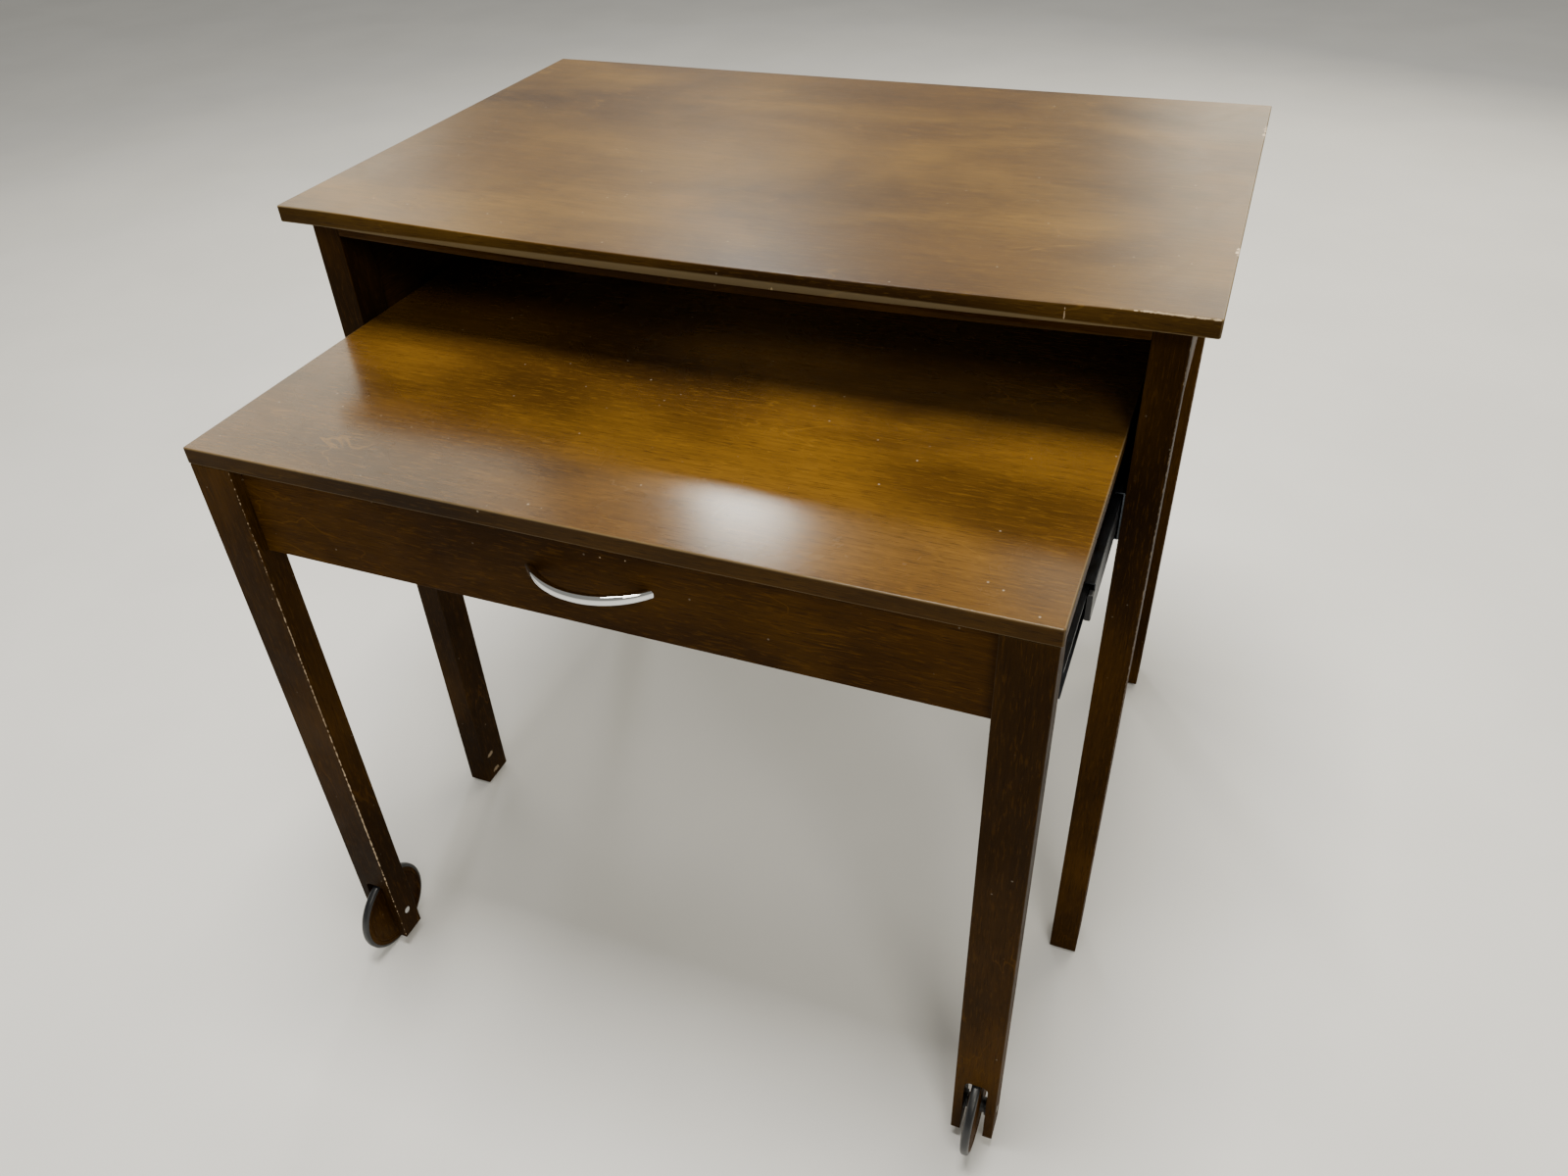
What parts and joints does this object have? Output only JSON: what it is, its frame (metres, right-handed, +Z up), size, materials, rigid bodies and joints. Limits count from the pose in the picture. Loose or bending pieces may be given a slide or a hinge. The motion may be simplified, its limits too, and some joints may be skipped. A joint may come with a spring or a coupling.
{
  "type": "extending desk",
  "caption": "Two-tier writing desk of dark stained board: a lower front desk on two wheels pulls out of a fixed rear desk along two ball-bearing slides, with a bow handle.",
  "frame": {"origin": "on the floor, under the middle of the object's box, with the front desk pulled out 226 mm ahead of the upper top", "axes": "X to the right as seen from the front, Y back, Z up; the front desk and its wheels face -Y"},
  "size_m": [0.819, 0.7786, 0.762],
  "materials": {
    "stained_top": "satin lacquer over dark brown stain, mottled",
    "stained_frame": "satin lacquer over very dark brown stain, worn edges",
    "wheel_wood": "dark stained turned wood",
    "raw_beech": "plain sanded beech",
    "chrome_bar": "polished chrome plate",
    "zinc_steel": "dark zinc-plated rolled steel",
    "bright_steel": "bright zinc-plated steel",
    "black_nylon": "black moulded nylon",
    "black_rubber": "matt black rubber tread"
  },
  "bodies": {
    "fixed_desk": {"upper_top": "stained_top", "front_stretcher": "stained_frame", "back_panel": "stained_frame", "frame_dowels": "raw_beech", "leg_glides": "black_nylon", "upper_blocks": "raw_beech", "upper_block_screws": "bright_steel", "cabinet_screws": "bright_steel", "fixed_leg_front_left": "stained_frame", "fixed_leg_rear_left": "stained_frame", "side_panel_left": "stained_frame", "slide_batten_left": "stained_frame", "slide_cabinet_left": "zinc_steel", "fixed_leg_front_right": "stained_frame", "fixed_leg_rear_right": "stained_frame", "side_panel_right": "stained_frame", "slide_batten_right": "stained_frame", "slide_cabinet_right": "zinc_steel"},
    "front_desk": {"lower_top": "stained_top", "fascia": "stained_frame", "rear_rail": "stained_frame", "pull_dowels": "raw_beech", "handle": "chrome_bar", "handle_screws": "bright_steel", "axle_washers": "black_nylon", "lower_blocks": "raw_beech", "lower_block_screws": "bright_steel", "drawer_screws": "bright_steel", "lower_leg_left": "stained_frame", "side_rail_left": "stained_frame", "slide_drawer_left": "zinc_steel", "axle_pin_left": "bright_steel", "lower_leg_right": "stained_frame", "side_rail_right": "stained_frame", "slide_drawer_right": "zinc_steel", "axle_pin_right": "bright_steel"},
    "slide_middle_left": {"slide_middle_left": "zinc_steel", "slide_bumper_left": "black_nylon"},
    "outer_cage_left": {"outer_cage_left": "black_nylon", "outer_balls_left": "bright_steel"},
    "inner_cage_left": {"inner_cage_left": "black_nylon", "inner_balls_left": "bright_steel"},
    "wheel_left": {"wheel_disc_left": "wheel_wood", "tyre_left": "black_rubber", "hub_bush_left": "black_nylon"},
    "slide_middle_right": {"slide_middle_right": "zinc_steel", "slide_bumper_right": "black_nylon"},
    "outer_cage_right": {"outer_cage_right": "black_nylon", "outer_balls_right": "bright_steel"},
    "inner_cage_right": {"inner_cage_right": "black_nylon", "inner_balls_right": "bright_steel"},
    "wheel_right": {"wheel_disc_right": "wheel_wood", "tyre_right": "black_rubber", "hub_bush_right": "black_nylon"}
  },
  "joints": [
    {"name": "pull_out", "type": "slide", "parent": "fixed_desk", "child": "front_desk", "axis": [0, -1, 0], "range_m": [-0.214, 0.236]},
    {"name": "slide_middle_left_run", "type": "slide", "parent": "fixed_desk", "child": "slide_middle_left", "axis": [0, -1, 0], "range_m": [-0.1182, 0.1303]},
    {"name": "outer_cage_left_run", "type": "slide", "parent": "fixed_desk", "child": "outer_cage_left", "axis": [0, -1, 0], "range_m": [-0.0594, 0.0654]},
    {"name": "inner_cage_left_run", "type": "slide", "parent": "fixed_desk", "child": "inner_cage_left", "axis": [0, -1, 0], "range_m": [-0.1663, 0.1834]},
    {"name": "wheel_left_roll", "type": "hinge", "parent": "front_desk", "child": "wheel_left", "pos_m": [-0.3345, -0.34125, 0.048], "axis": [1, 0, 0], "continuous": true},
    {"name": "slide_middle_right_run", "type": "slide", "parent": "fixed_desk", "child": "slide_middle_right", "axis": [0, -1, 0], "range_m": [-0.1182, 0.1303]},
    {"name": "outer_cage_right_run", "type": "slide", "parent": "fixed_desk", "child": "outer_cage_right", "axis": [0, -1, 0], "range_m": [-0.0594, 0.0654]},
    {"name": "inner_cage_right_run", "type": "slide", "parent": "fixed_desk", "child": "inner_cage_right", "axis": [0, -1, 0], "range_m": [-0.1663, 0.1834]},
    {"name": "wheel_right_roll", "type": "hinge", "parent": "front_desk", "child": "wheel_right", "pos_m": [0.3345, -0.34125, 0.048], "axis": [1, 0, 0], "continuous": true}
  ],
  "couplings": [
    {"joint": "slide_middle_left_run", "follows": "pull_out", "ratio": 0.55},
    {"joint": "outer_cage_left_run", "follows": "pull_out", "ratio": 0.275},
    {"joint": "inner_cage_left_run", "follows": "pull_out", "ratio": 0.775},
    {"joint": "slide_middle_right_run", "follows": "pull_out", "ratio": 0.55},
    {"joint": "outer_cage_right_run", "follows": "pull_out", "ratio": 0.275},
    {"joint": "inner_cage_right_run", "follows": "pull_out", "ratio": 0.775}
  ]
}
